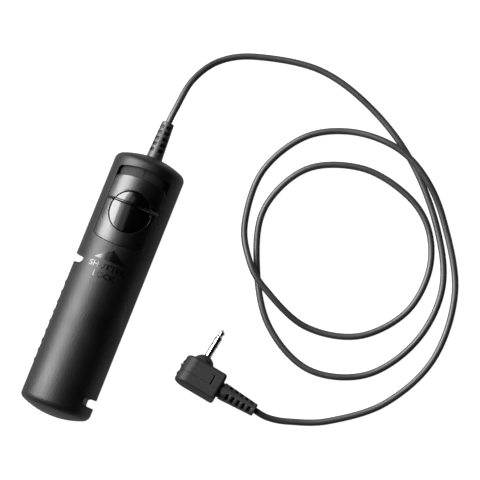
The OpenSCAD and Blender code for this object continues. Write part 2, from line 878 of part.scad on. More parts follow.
// Half of the plug body's section, along the pin and up, with eased edges
function plug_section() =
    let (r = plug_edge_r)
    let (x = plug_half_t - r)
    let (y = plug_depth / 2 - r)
    concat([[0, -plug_depth / 2]], arc_points([x, -y], r, -90, 0, 0, 6),
        arc_points([x, y], r, 0, 90, 0, 6), [[0, plug_depth / 2]]);

// Closed plug body between two depths: a block with one round end and eased edges
module plug_body(low_y, high_y) {
    half = plug_section();
    round_x = plug_left_x + plug_half_t;
    right_l = plug_right_x - round_x;
    edge = plug_edge_r;
    intersection() {
        translate([round_x, 0, 0]) union() {
            rotate([-90, 0, 0]) rotate([0, 0, 90]) rotate_extrude(angle = 180) polygon(half);
            rotate([0, 90, 0]) linear_extrude(height = right_l)
                polygon(concat(half, [for (i = [1 : len(half) - 2]) -half[i]]));
        }
        translate([round_x - plug_t, 0, 0]) linear_extrude(height = plug_t, center = true)
            plug_end(right_l + plug_t, plug_depth / 2, edge);
        rotate([90, 0, 0]) translate([round_x - plug_t, 0, 0])
            linear_extrude(height = plug_depth, center = true)
                plug_end(right_l + plug_t, plug_half_t, edge);
        translate([plug_left_x - 1, low_y, -plug_half_t - 1])
            cube([plug_l + 2, high_y - low_y, plug_t + 2]);
    }
}

// Flat bar from x = 0 whose right-hand corners are eased
module plug_end(length, half_w, edge) {
    polygon(concat([[0, -half_w]],
        arc_points([length - edge, edge - half_w], edge, -90, 0, 0, 6),
        arc_points([length - edge, half_w - edge], edge, 0, 90, 0, 6), [[0, half_w]]));
}

module plug_cavity() {
    wall = plug_wall;
    translate([plug_left_x + wall + 0.6, -plug_depth / 2 + wall, -plug_half_t + wall])
        cube([plug_l - 2 * wall - 0.6, plug_depth - 2.9, plug_t - 2 * wall]);
}

module plug_cord_hole() {
    along_cord(plug_right_x - plug_wall - 0.1)
        cylinder(h = plug_wall + 1, r = plug_neck_r + tube_gap);
}

module plug_front() {
    color("#2a2b2d") plug_place() difference() {
        union() {
            plug_body(split_y, plug_front_y + 1);
            intersection() {
                translate([0, pin_base_y - dome_ball_r, 0]) sphere(r = dome_ball_r);
                along_pin(split_y + 0.5) cylinder(h = plug_depth, r = dome_base_r);
            }
        }
        plug_cavity();
        plug_cord_hole();
        along_pin(split_y) cylinder(h = plug_depth + 4, r = pin_neck_r + tube_gap);
        along_pin(split_y) cylinder(h = plug_front_y - split_y + 0.65, r = pin_r + 0.6);
    }
}

module plug_rear() {
    color("#2a2b2d") plug_place() difference() {
        plug_body(-plug_depth / 2 - 1, split_y);
        plug_cavity();
        plug_cord_hole();
    }
}

// Solder tab on the +X side of a contact's rear disc
module tab(y, disc_r) {
    along_pin(y - 0.4) cylinder(h = 0.4, r = disc_r);
    translate([0, y - 0.4, -0.6]) cube([plug_tab_x, 0.4, 1.2]);
}

function tube_r(n) = rod_r + n * (tube_step + tube_gap);

module plug_sleeve() {
    color("#d8dadd") plug_place() difference() {
        union() {
            along_pin(pin_base_y) cylinder(h = ring_1_y - pin_base_y, r = pin_r);
            along_pin(tab_y) cylinder(h = ring_1_y - 1 - tab_y, r = pin_neck_r);
            along_pin(tab_y) cylinder(h = plug_front_y + 0.6 - tab_y, r = pin_r + 0.55);
            tab(tab_y, pin_r + 1.1);
        }
        along_pin(tab_y - 2) cylinder(h = pin_l + 12, r = tube_r(3) + tube_gap);
    }
}

module plug_insulator_outer() {
    color("#141414") plug_place() difference() {
        union() {
            along_pin(tab_y - tab_pitch + 0.2)
                cylinder(h = ring_1_y - tab_y + tab_pitch, r = tube_r(3));
            along_pin(ring_1_y) cylinder(h = ring_w, r = pin_r);
        }
        along_pin(tab_y - 4) cylinder(h = pin_l + 14, r = tube_r(2) + tube_gap);
    }
}

module plug_ring() {
    low_y = tab_y - tab_pitch;
    color("#d8dadd") plug_place() difference() {
        union() {
            along_pin(low_y - 0.3) cylinder(h = ring_1_y + 1 - low_y, r = tube_r(2));
            along_pin(ring_1_y + ring_w)
                cylinder(h = ring_2_y - ring_1_y - ring_w, r = pin_r);
            tab(low_y, pin_r + 0.5);
        }
        along_pin(low_y - 3) cylinder(h = pin_l + 14, r = tube_r(1) + tube_gap);
    }
}

module plug_insulator_inner() {
    low_y = tab_y - 2 * tab_pitch + 0.2;
    color("#141414") plug_place() difference() {
        union() {
            along_pin(low_y) cylinder(h = ring_2_y - low_y + ring_w / 2, r = tube_r(1));
            along_pin(ring_2_y) cylinder(h = ring_w, r = pin_r);
        }
        along_pin(low_y - 3) cylinder(h = pin_l + 14, r = rod_r + tube_gap);
    }
}

module plug_tip() {
    low_y = tab_y - 2 * tab_pitch;
    base_y = ring_2_y + ring_w;
    tip_l = pin_end_y - base_y;
    waist_r = pin_r * 0.62;
    nose_r = pin_r * 0.4;
    color("#d8dadd") plug_place() {
        along_pin(low_y - 0.3) cylinder(h = base_y - low_y + 1, r = rod_r);
        along_pin(base_y) rotate_extrude() polygon(concat(
            [[0, 0], [pin_r, 0], [pin_r, tip_l * 0.12], [waist_r, tip_l * 0.34],
                [tip_bulb_r, tip_l * 0.64]],
            arc_points([0, tip_l - nose_r], nose_r, 30, 90, 0, 6)
        ));
        tab(low_y, tip_disc_r);
    }
}

module plug_wires() {
    color("#b8863b") plug_place() for (i = [0 : 2]) {
        path = smooth_path([
            [plug_cord_x - wire_end_gap, 0, (i - 1) * wire_d],
            [plug_cord_x - 0.6, 0, (i - 1) * wire_d],
            [plug_tab_x + 0.5, tab_y - 0.2 - i * tab_pitch, 0],
            [plug_tab_x + wire_end_gap, tab_y - 0.2 - i * tab_pitch, 0]
        ], 3);
        tube_along(path, wire_d * 0.4, 8, [0, 1, 0]);
    }
}

front_shell();
rear_shell();
shell_screws();
slide_plate();
slide_retainer();
slide_detent_spring();
detent_screw();
release_button();
return_spring();
contact_board();
board_screws();
common_leaf();
focus_leaf();
shutter_leaf();
contact_rivets();
solder_joints();
wire_common();
wire_focus();
wire_shutter();
cord_clamp();
clamp_screws();
handle_boot();
cord();
plug_boot();
plug_front();
plug_rear();
plug_sleeve();
plug_insulator_outer();
plug_ring();
plug_insulator_inner();
plug_tip();
plug_wires();
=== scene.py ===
import json
import math

import bmesh
import bpy
from mathutils import Matrix, Vector


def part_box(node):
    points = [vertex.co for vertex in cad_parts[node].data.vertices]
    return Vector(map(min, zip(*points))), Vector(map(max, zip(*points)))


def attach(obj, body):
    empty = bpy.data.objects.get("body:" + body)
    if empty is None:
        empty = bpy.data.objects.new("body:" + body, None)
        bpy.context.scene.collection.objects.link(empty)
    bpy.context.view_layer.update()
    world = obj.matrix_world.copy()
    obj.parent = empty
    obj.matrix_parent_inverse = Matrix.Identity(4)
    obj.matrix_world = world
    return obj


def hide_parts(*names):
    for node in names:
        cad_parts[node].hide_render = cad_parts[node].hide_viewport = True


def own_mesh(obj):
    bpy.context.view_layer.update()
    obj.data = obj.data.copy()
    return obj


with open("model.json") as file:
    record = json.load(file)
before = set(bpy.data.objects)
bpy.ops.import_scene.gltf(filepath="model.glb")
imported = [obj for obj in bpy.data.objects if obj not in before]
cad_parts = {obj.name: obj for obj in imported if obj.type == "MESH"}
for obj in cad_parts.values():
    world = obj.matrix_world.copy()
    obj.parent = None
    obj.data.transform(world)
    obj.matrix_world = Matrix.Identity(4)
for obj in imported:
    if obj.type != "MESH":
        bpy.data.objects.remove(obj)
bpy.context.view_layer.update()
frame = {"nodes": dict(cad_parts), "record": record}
mm = 0.001  # the shapes below are in millimetres
scene = bpy.context.scene
mounts = {m["name"]: m for m in frame["record"]["mounts"]}

shellLow, shellHigh = [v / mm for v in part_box("front_shell")]
handleRadius = (shellHigh.x - shellLow.x) / 2
axisZ = shellLow.z
handleEnd = -shellLow.y
buttonLow, buttonHigh = [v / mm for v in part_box("release_button")]
buttonY = round((buttonLow.y + buttonHigh.y) / 2, 3)

# Camera
camera = {
    "place": (0.07228, -0.05284, 0.885),
    "lookAt": (0.03758, 0.03346, 0),
    "roll": 21.548,
    "lens": 190.82,
    "sensor": 36,
}
sight = Vector(camera["lookAt"]) - Vector(camera["place"])
roll = math.radians(camera["roll"])
upward = Vector((-math.sin(roll), math.cos(roll), 0))
right = sight.cross(upward).normalized()
upward = right.cross(sight).normalized()
cameraData = bpy.data.cameras.new("camera")
cameraData.lens = camera["lens"]
cameraData.sensor_width = camera["sensor"]
cameraData.clip_start = 0.01
cameraObject = bpy.data.objects.new("camera", cameraData)
cameraObject.matrix_world = Matrix.Translation(camera["place"]) @ Matrix(
    (right, upward, -sight.normalized())).transposed().to_4x4()
scene.collection.objects.link(cameraObject)
scene.camera = cameraObject
print("camera ready")


# Materials
def material(name, color, roughness, metallic=0.0, specular=0.5, grain=0.2, depth=0.01,
             spread=0.06, wear=0.25, coat=0.0, stretch=(1, 1, 1)):
    # grain is the texture's size and depth its relief, both in mm; spread varies the gloss
    made = bpy.data.materials.new(name)
    made.use_nodes = True
    nodes, links = made.node_tree.nodes, made.node_tree.links
    shader = nodes["Principled BSDF"]
    shader.inputs["Metallic"].default_value = metallic
    shader.inputs["Specular IOR Level"].default_value = specular
    shader.inputs["Coat Weight"].default_value = coat
    shader.inputs["Coat Roughness"].default_value = 0.08
    place = nodes.new("ShaderNodeTexCoord")
    turn = nodes.new("ShaderNodeMapping")
    turn.inputs["Scale"].default_value = stretch
    links.new(place.outputs["Object"], turn.inputs["Vector"])

    def noise(size, detail):
        made = nodes.new("ShaderNodeTexNoise")
        made.inputs["Scale"].default_value = 1 / (size * mm)
        made.inputs["Detail"].default_value = detail
        links.new(turn.outputs["Vector"], made.inputs["Vector"])
        return made

    def ranged(source, low, high):
        made = nodes.new("ShaderNodeMapRange")
        made.inputs["From Min"].default_value = 0.3
        made.inputs["From Max"].default_value = 0.7
        made.inputs["To Min"].default_value = low
        made.inputs["To Max"].default_value = high
        links.new(source.outputs["Fac"], made.inputs["Value"])
        return made

    fine, broad = noise(grain, 4), noise(grain * 30, 3)
    tint = nodes.new("ShaderNodeMix")
    tint.data_type = "RGBA"
    tint.inputs["A"].default_value = (*[c * (1 - wear) for c in color], 1)
    tint.inputs["B"].default_value = (*[min(1, c * (1 + wear)) for c in color], 1)
    shade = ranged(broad, 0.2, 0.8)
    links.new(shade.outputs["Result"], tint.inputs["Factor"])
    links.new(tint.outputs["Result"], shader.inputs["Base Color"])
    gloss = ranged(broad, roughness - spread, roughness + spread)
    links.new(gloss.outputs["Result"], shader.inputs["Roughness"])
    relief = nodes.new("ShaderNodeBump")
    relief.inputs["Strength"].default_value = 1
    relief.inputs["Distance"].default_value = depth * mm
    links.new(fine.outputs["Fac"], relief.inputs["Height"])
    links.new(relief.outputs["Normal"], shader.inputs["Normal"])
    return made


finishes = {
    "grainedShell": material("grainedShell", (0.0007, 0.0007, 0.0008), 0.45, specular=0.34,
                             grain=0.45, depth=0.08, wear=0.3),
    "smoothRecess": material("smoothRecess", (0.003, 0.003, 0.0032), 0.62, specular=0.22,
                             grain=0.5, depth=0.02, wear=0.3),
    "satinSlide": material("satinSlide", (0.0005, 0.0005, 0.0006), 0.33, grain=0.3,
                           depth=0.02),
    "polishedButton": material("polishedButton", (0.0003, 0.0003, 0.0003), 0.15, grain=1.5,
                               depth=0.0015, spread=0.02),
    "raisedMark": material("raisedMark", (0.0015, 0.0015, 0.0016), 0.2, grain=0.5, depth=0.004),
    "bootRubber": material("bootRubber", (0.012, 0.012, 0.0125), 0.5, grain=0.25, depth=0.02),
    "cordJacket": material("cordJacket", (0.016, 0.016, 0.017), 0.46, grain=0.3, depth=0.015),
    "plugPlastic": material("plugPlastic", (0.006, 0.006, 0.0065), 0.55, specular=0.3,
                            grain=0.4, depth=0.08),
    "polishedNickel": material("polishedNickel", (0.82, 0.8, 0.77), 0.12, metallic=1,
                               grain=0.5, depth=0.001, spread=0.04, wear=0.05),
    "blackRing": material("blackRing", (0.006, 0.006, 0.006), 0.35),
    "zincScrew": material("zincScrew", (0.55, 0.55, 0.57), 0.32, metallic=1, grain=0.2,
                          depth=0.003, wear=0.1),
    "springSteel": material("springSteel", (0.6, 0.6, 0.6), 0.25, metallic=1, grain=0.2,
                            depth=0.002, wear=0.1, stretch=(1, 0.2, 1)),
    "leafBronze": material("leafBronze", (0.72, 0.48, 0.25), 0.3, metallic=1, grain=0.2,
                           depth=0.002, wear=0.15, stretch=(1, 0.15, 1)),
    "turnedBrass": material("turnedBrass", (0.75, 0.57, 0.28), 0.25, metallic=1, grain=0.2,
                            depth=0.002, wear=0.1),
    "greenBoard": material("greenBoard", (0.02, 0.13, 0.05), 0.3, grain=0.5, depth=0.006,
                           wear=0.3, coat=0.4),
    "solder": material("solder", (0.6, 0.6, 0.6), 0.28, metallic=1, grain=0.4, depth=0.02,
                       wear=0.15),
    "innerPlastic": material("innerPlastic", (0.06, 0.06, 0.063), 0.5, grain=0.4, depth=0.01),
    "whiteWire": material("whiteWire", (0.7, 0.67, 0.6), 0.4, grain=0.3, depth=0.006, wear=0.1),
    "redWire": material("redWire", (0.42, 0.04, 0.03), 0.4, grain=0.3, depth=0.006),
    "yellowWire": material("yellowWire", (0.6, 0.38, 0.04), 0.4, grain=0.3, depth=0.006),
}
print("materials ready")


# Shared modelling steps. A cutting shape reaches past what it cuts, so its far side is free.
def arc(centre, radius, start, end, steps, first=0):
    # Points on an arc in a plane, angles in degrees
    found = []
    for k in range(first, steps + 1):
        a = math.radians(start + (end - start) * k / steps)
        found.append((centre[0] + radius * math.cos(a), centre[1] + radius * math.sin(a)))
    return found


def placed(name, bm):
    # Makes an object of a shape, which is used up
    mesh = bpy.data.meshes.new(name)
    bmesh.ops.recalc_face_normals(bm, faces=bm.faces)
    bm.to_mesh(mesh)
    bm.free()
    made = bpy.data.objects.new(name, mesh)
    scene.collection.objects.link(made)
    return made


def combine(shape, tool, operation="DIFFERENCE"):
    # Exact cut, union or overlap of two shapes, which are both used up
    piece, other = placed("shape", shape), placed("tool", tool)
    step = piece.modifiers.new("combine", "BOOLEAN")
    step.operation = operation
    step.solver = "EXACT"
    step.object = other
    result = bmesh.new()
    result.from_object(piece, bpy.context.evaluated_depsgraph_get())
    for used in (piece, other):
        bpy.data.meshes.remove(used.data)
    return result


def rod(start, end, radius, endRadius=None, segments=64):
    start, end = Vector(start), Vector(end)
    turn = (end - start).to_track_quat("Z", "Y").to_matrix().to_4x4()
    bm = bmesh.new()
    bmesh.ops.create_cone(
        bm, cap_ends=True, segments=segments, radius1=radius * mm,
        radius2=(radius if endRadius is None else endRadius) * mm,
        depth=(end - start).length * mm,
        matrix=Matrix.Translation((start + end) / 2 * mm) @ turn)
    return bm


def box(low, high):
    low, high = Vector(low), Vector(high)
    bm = bmesh.new()
    bmesh.ops.create_cube(bm, size=1, matrix=Matrix.Translation((low + high) / 2 * mm)
                          @ Matrix.Diagonal(((high - low) * mm).to_4d()))
    return bm


def bevelEdges(bm, edges, width, segments):
    bmesh.ops.bevel(bm, geom=edges, offset=width * mm, offset_type="OFFSET",
                    segments=segments, profile=0.5, affect="EDGES", clamp_overlap=True,
                    material=-1)


def prism(outline, toPoint, along):
    # Flat outline drawn through toPoint(a, b), pushed out by the vector along
    bm = bmesh.new()
    corners = [bm.verts.new(Vector(toPoint(a, b)) * mm) for a, b in outline]
    face = bm.faces.new(corners)
    pushed = bmesh.ops.extrude_face_region(bm, geom=[face])["geom"]
    moving = [g for g in pushed if isinstance(g, bmesh.types.BMVert)]
    bmesh.ops.translate(bm, verts=moving, vec=Vector(along) * mm)
    bmesh.ops.recalc_face_normals(bm, faces=bm.faces)
    return bm


def spun(profile, toPoint, centre, axis, steps, turn=360, closed=False):
    # Turned shape: profile points (radius, position), a full turn or part of one
    bm = bmesh.new()
    corners = [bm.verts.new(Vector(toPoint(r, p)) * mm) for r, p in profile]
    if turn < 360:
        face = bm.faces.new(corners)
        geometry = [face, *face.edges, *face.verts]
    else:
        pairs = list(zip(corners, corners[1:] + corners[:1] if closed else corners[1:]))
        geometry = corners + [bm.edges.new(pair) for pair in pairs]
    bmesh.ops.spin(bm, geom=geometry, cent=Vector(centre) * mm, axis=axis,
                   angle=math.radians(turn), steps=steps, use_merge=turn == 360)
    bmesh.ops.remove_doubles(bm, verts=bm.verts, dist=0.0005 * mm)
    bmesh.ops.dissolve_degenerate(bm, edges=bm.edges, dist=0.0005 * mm)
    bmesh.ops.recalc_face_normals(bm, faces=bm.faces)
    return bm


def finishPiece(name, shape, body, nodes, finish, edge=0.0, smooth=32, inset=None):
    # edge is the width in mm of the eased corners, smooth the angle that counts as a corner
    piece = placed(name, shape)
    piece.data.materials.append(finishes[finish])
    if inset:
        piece.data.materials.append(finishes[inset])
    piece.data.shade_smooth()
    if edge:
        step = piece.modifiers.new("easedEdges", "BEVEL")
        step.width = edge * mm
        step.segments = 2
        step.limit_method = "ANGLE"
        step.angle_limit = math.radians(smooth)
        step.use_clamp_overlap = False
    else:
        piece.data.set_sharp_from_angle(angle=math.radians(smooth))
    step = piece.modifiers.new("evenShading", "WEIGHTED_NORMAL")
    step.keep_sharp = True
    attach(piece, body)
    if nodes:
        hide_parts(*nodes)
    print("made", name)
    return piece


# Cord, laid in two loops; its length is in metres, from one strain relief to the other
cordRoute = {
    "diameter": 2.3,
    "length": 0.697,
    "start": 38.8,
    "bootTip": 61.1,
    "plugTip": 23.6,
    "plugEnd": 6.3,
    "lowest": 1.16,
    "steps": 10,
    "points": [
        (0.5, 67, 11.5), (2, 79, 7.5), (8, 89.5, 2.6), (20, 96, 1.2), (42, 99.5, 1.2),
        (63.5, 93.5, 1.2), (83.5, 81, 1.2), (100.5, 62, 1.2), (109.5, 43, 1.2),
        (107.5, 22.5, 1.2), (95.5, 5.5, 1.2), (76, 0, 1.2), (57.5, 9.5, 1.2), (46, 28, 1.2),
        (41.5, 47, 1.2), (50, 65, 1.2), (68, 72.5, 1.2), (86, 69.5, 1.2), (97.5, 61, 1.2),
        (103, 47, 1.2), (100.5, 30.5, 1.2), (88, 17, 1.2), (69.5, 13.5, 1.5),
        (52, 20.5, 3.8), (43.5, 27.5, 3.8), (37, 39.5, 1.6), (36, 58.5, 1.2),
        (45, 75, 1.2), (59.5, 83, 1.6), (76, 83.5, 3.7), (89.5, 77.5, 3.7),
        (101.5, 65.5, 1.7), (114, 44, 1.2), (115.5, 19.5, 1.2), (105.5, -1, 1.2),
        (89.5, -14, 1.2), (77, -19.2, 1.5), (69.5, -20.8, 3.2),
    ],
}

# The plug's own frame: X along its cord, Y along its pin
plugTurn = {"heading": -9, "dip": 12, "pinMark": 11.55}
pinDirection = Vector(mounts["plug_pin"]["axis"])
plugCentre = Vector(mounts["plug_pin"]["pos_m"]) / mm - pinDirection * plugTurn["pinMark"]
plugPlace = (Matrix.Translation(plugCentre * mm)
             @ Matrix.Rotation(math.radians(plugTurn["heading"]), 4, "Z")
             @ Matrix.Rotation(math.radians(-plugTurn["dip"]), 4, "X"))
plugAlong = plugPlace.to_3x3() @ Vector((1, 0, 0))


def smoothLine(points, steps):
    # Smooth curve through all the points
    found = []
    last = len(points) - 1
    for i in range(last):
        before, here = points[max(0, i - 1)], points[i]
        there, after = points[i + 1], points[min(last, i + 2)]
        for k in range(steps):
            t = k / steps
            found.append((here * 2 + (there - before) * t
                          + (before * 2 - here * 5 + there * 4 - after) * t ** 2
                          + (here * 3 - before - there * 3 + after) * t ** 3) / 2)
    return found + [points[last]]


cordGiven = [Vector((0, cordRoute["bootTip"], axisZ))]
cordGiven += [Vector(p) for p in cordRoute["points"]]
cordGiven += [plugCentre + plugAlong * cordRoute["plugTip"]]
cordLine = smoothLine(cordGiven, cordRoute["steps"])
for p in cordLine:
    p.z = max(p.z, cordRoute["lowest"])
cordLine = ([Vector((0, cordRoute["start"], axisZ))] + cordLine
            + [plugCentre + plugAlong * cordRoute["plugEnd"]])
cordCurve = bpy.data.curves.new("cordJacket", "CURVE")
cordCurve.dimensions = "3D"
cordCurve.bevel_depth = cordRoute["diameter"] / 2 * mm
cordCurve.bevel_resolution = 6
cordCurve.use_fill_caps = True
spline = cordCurve.splines.new("POLY")
spline.points.add(len(cordLine) - 1)
for point, place in zip(spline.points, cordLine):
    point.co = (*(place * mm), 1)
spline.use_smooth = True
cordPiece = bpy.data.objects.new("cordJacket", cordCurve)
scene.collection.objects.link(cordPiece)
cordCurve.materials.append(finishes["cordJacket"])
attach(cordPiece, "handle")
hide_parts("cord")
print("cord ready")


# Handle shells
shell = {
    "domeRadius": 28, "cornerRadius": 2.8, "wall": 2.0, "endWall": 3.3, "facets": 96,
    "ring": 4.0, "slotWidth": 3.0, "slotDepth": 3.6, "slotWall": 1.2, "leftSlot": 5.8,
    "rightSlot": -39, "dishRadius": 2.15, "dishShift": 0.3, "dishFloor": 8.6,
    "flankDepth": 0.5, "ribs": 9, "ribFirst": -3.4, "ribPitch": 3.55, "ribHeight": 0.4,
    "ribRadius": 1.0, "edge": 0.05, "cordHole": 2.35,
    "screws": (-32, -2), "post": 3.0, "headHole": 2.2, "headDepth": 2.2, "screwHole": 1.2,
    "threadHole": 1.15, "threadTop": 5.15, "seatRoom": 0.5,
    "boardPosts": ((-4.3, buttonY - 13.2), (4.3, buttonY + 0.6)), "boardPost": 2.2,
    "boardTop": -2.0,
    "seat": (38.6, 42.8), "seatHalf": 5.5, "seatBore": 1.2,
    "detentScrew": buttonY - 21.9, "detentPost": 2.2, "detentTop": 8.8, "detentThread": 1.05,
    "detentDepth": 2.3,
}
window = {
    "low": buttonY - 12.2, "high": buttonY + 15.6, "halfWidth": 9.42, "bow": 34,
    "corner": 1.5, "floorRadius": handleRadius - 1.3, "openingHalf": 7.7,
    "openingLow": buttonY - 8.2, "openingHigh": buttonY + 11.4,
}
cavityRadius = handleRadius - shell["wall"]
cavityEnd = handleEnd - shell["endWall"]


def ringsBetween(radius, low, high, spacing):
    # Points along a straight wall, its ends left out, so that its facets stay short
    count = max(1, round(abs(high - low) / spacing))
    return [(radius, low + (high - low) * k / count) for k in range(1, count)]


def barOutline():
    # Half outline of the handle, from its far end on the axis to the cord's end
    middle = handleEnd - shell["domeRadius"]
    x = handleRadius - shell["cornerRadius"]
    y = middle + math.sqrt((shell["domeRadius"] - shell["cornerRadius"]) ** 2 - x ** 2)
    meet = math.degrees(math.atan2(y - middle, x))
    upper = (arc((x, y), shell["cornerRadius"], 0, meet, 12)
             + arc((0, middle), shell["domeRadius"], meet, 90, 16, 1))
    return ([(a, -b) for a, b in reversed(upper)]
            + ringsBetween(handleRadius, -y, y, shell["ring"]) + upper)


def bowedOutline(low, high, halfWidth, bow, corner):
    # Window outline: straight sides, bowed ends of radius bow, rounded corners
    centre, half = (low + high) / 2, (high - low) / 2
    bowY, x = half - bow, halfWidth - corner
    y = bowY + math.sqrt((bow - corner) ** 2 - x * x)
    meet = math.degrees(math.atan2(y - bowY, x))
    quarter = arc((x, y), corner, 0, meet, 10) + arc((0, bowY), bow, meet, 90, 14, 1)
    upper = quarter + [(-a, b) for a, b in reversed(quarter[:-1])]
    return [(a, b + centre) for a, b in upper] + [(-a, centre - b) for a, b in upper]


def handleSpun(profile, steps, up):
    # Half turn round the handle's axis, over it (1) or under it (-1)
    return spun(profile, lambda r, y: (r, y, axisZ), (0, 0, axisZ), (0, -up, 0), steps, 180)


def handleRod(radius, low, high, segments=128):
    return rod((0, low, axisZ), (0, high, axisZ), radius, segments=segments)


def upright(x, y, radius, low, high, segments=64):
    # Upright rod, its heights measured from the handle's axis
    return rod((x, y, axisZ + low), (x, y, axisZ + high), radius, segments=segments)


def uprightPrism(outline, low, high):
    return prism(outline, lambda x, y: (x, y, axisZ + low), (0, 0, high - low))


def flankTool():
    # What is cut from the left flank: a flat with finger ribs left standing
    flat = handleRadius - shell["flankDepth"]
    tool = box((-20, -60, -5), (-flat, shell["leftSlot"], 40))
    for i in range(shell["ribs"]):
        y = shell["ribFirst"] - i * shell["ribPitch"]
        x = -flat - shell["ribHeight"] + shell["ribRadius"]
        tool = combine(tool, rod((x, y, -6), (x, y, 41), shell["ribRadius"]))
    return tool


def makeShell(up):
    # Half of the hollow bar, with slot pockets, screw posts and the cuts both shells share
    outline = (barOutline() + [(0, cavityEnd), (cavityRadius, cavityEnd)]
               + ringsBetween(cavityRadius, cavityEnd, -cavityEnd, shell["ring"])
               + [(cavityRadius, -cavityEnd), (0, -cavityEnd)])
    shape = handleSpun(outline, shell["facets"], up)
    low, high = sorted((0, up * 14))
    inner = handleRadius - shell["slotDepth"]
    half = shell["slotWidth"] / 2
    for side, y in ((-1, shell["leftSlot"]), (1, shell["rightSlot"])):
        reach = half + shell["slotWall"]
        ends = sorted((side * (inner - shell["slotWall"]), side * handleRadius))
        pocket = box((ends[0], y - reach, axisZ + low), (ends[1], y + reach, axisZ + high))
        pocket = combine(pocket, handleRod(handleRadius - 1, y - 4, y + 4), "INTERSECT")
        shape = combine(shape, pocket, "UNION")
    for y in shell["screws"]:
        reach = up * (cavityRadius + 0.5)
        shape = combine(shape, upright(0, y, shell["post"], 0, reach), "UNION")
    for side, y in ((-1, shell["leftSlot"]), (1, shell["rightSlot"])):
        outline = arc((0, 0), half, 90, 270, 24) + [(6, -half), (6, half)]
        x = inner + half
        shape = combine(shape, prism(
            outline, lambda a, b: (side * (x + a), y + b, -2), (0, 0, 30)))
    dishAt = inner + half - 0.1, shell["rightSlot"] + shell["dishShift"]
    shape = combine(shape, upright(*dishAt, shell["dishRadius"], up * shell["dishFloor"],
                                   up * 14))
    shape = combine(shape, flankTool())
    return combine(shape, handleRod(shell["cordHole"], cavityEnd - 1, handleEnd + 1, 64))


frontShape = makeShell(1)
recess = uprightPrism(bowedOutline(window["low"], window["high"], window["halfWidth"],
                                   window["bow"], window["corner"]), 2, 16)
recess = combine(recess, handleRod(window["floorRadius"], window["low"] - 1,
                                   window["high"] + 1, 180))
frontShape = combine(frontShape, recess)
frontShape = combine(frontShape, box(
    (-window["openingHalf"], window["openingLow"], axisZ + 1),
    (window["openingHalf"], window["openingHigh"], axisZ + 16)))
frontShape = combine(frontShape, upright(
    0, shell["detentScrew"], shell["detentPost"], shell["detentTop"], cavityRadius + 0.6),
    "UNION")
frontShape = combine(frontShape, upright(
    0, shell["detentScrew"], shell["detentThread"], shell["detentTop"] - 1,
    shell["detentTop"] + shell["detentDepth"], 32))
for y in shell["screws"]:
    frontShape = combine(frontShape, upright(0, y, shell["threadHole"], -1,
                                             shell["threadTop"], 32))
for face in frontShape.faces:
    # the recess's floor has the smoother finish
    spot = face.calc_center_median() / mm - Vector((0, 0, axisZ))
    onFloor = abs(math.hypot(spot.x, spot.z) - window["floorRadius"]) < 0.1
    inside = spot.z > 0 and window["low"] < spot.y < window["high"]
    face.material_index = int(onFloor and inside)
# the tiniest edges go first, as the eased corners would tear there
bmesh.ops.dissolve_degenerate(frontShape, edges=frontShape.edges, dist=0.04 * mm)
finishPiece("frontShell", frontShape, "handle", ["front_shell"],
            "grainedShell", shell["edge"], inset="smoothRecess")

rearShape = makeShell(-1)
seatLow, seatHigh = shell["seat"]
seat = combine(box((-shell["seatHalf"], seatLow, 0), (shell["seatHalf"], seatHigh, axisZ)),
               handleRod(cavityRadius + 1, seatLow - 1, seatHigh + 1), "INTERSECT")
rearShape = combine(rearShape, seat, "UNION")
rearShape = combine(rearShape, handleRod(shell["seatBore"], seatLow - 1,
                                         seatHigh + shell["seatRoom"], 48))
for x, y in shell["boardPosts"]:
    foot = -math.sqrt((cavityRadius + 0.5) ** 2 - (abs(x) + shell["boardPost"]) ** 2)
    rearShape = combine(rearShape, upright(x, y, shell["boardPost"], foot - 1,
                                           shell["boardTop"]), "UNION")
rearShape = combine(rearShape, box((-20, -60, -5), (20, 60, 0)))
for y in shell["screws"]:
    rearShape = combine(rearShape, rod((0, y, -1), (0, y, axisZ + 1), shell["screwHole"]))
    rearShape = combine(rearShape, rod((0, y, -1), (0, y, shell["headDepth"]),
                                       shell["headHole"]))
finishPiece("rearShell", rearShape, "handle", ["rear_shell"],
            "grainedShell", shell["edge"])
print("shells ready")

# Raised marks on the front shell
marks = {
    "height": 0.07, "depth": 0.1, "strip": 0.4, "weight": 0.02, "edge": 0.03,
    "arrow": ((-6, 7.9), (6, 7.9), (0, 12.0)),
    "words": (("SHUTTER", 5.75, 13.4, 2.0), ("LOCK", 2.55, 7.9, 2.0)),
}


def bentOn(shape):
    # Cuts a flat shape into strips and bends it round the handle
    reach = max(abs(v.co.x) for v in shape.verts) / mm
    for k in range(-int(reach / marks["strip"]), int(reach / marks["strip"]) + 1):
        bmesh.ops.bisect_plane(
            shape, geom=shape.verts[:] + shape.edges[:] + shape.faces[:],
            plane_co=(k * marks["strip"] * mm, 0, 0), plane_no=(1, 0, 0))
    for v in shape.verts:
        turn = v.co.x / (handleRadius * mm)
        radius = handleRadius * mm + v.co.z
        v.co.x, v.co.z = radius * math.sin(turn), axisZ * mm + radius * math.cos(turn)
    return shape


arrow = prism(marks["arrow"], lambda x, y: (x, y, -marks["depth"]),
              (0, 0, marks["depth"] + marks["height"]))
finishPiece("lockArrow", bentOn(arrow), "handle", [], "raisedMark",
            marks["edge"])

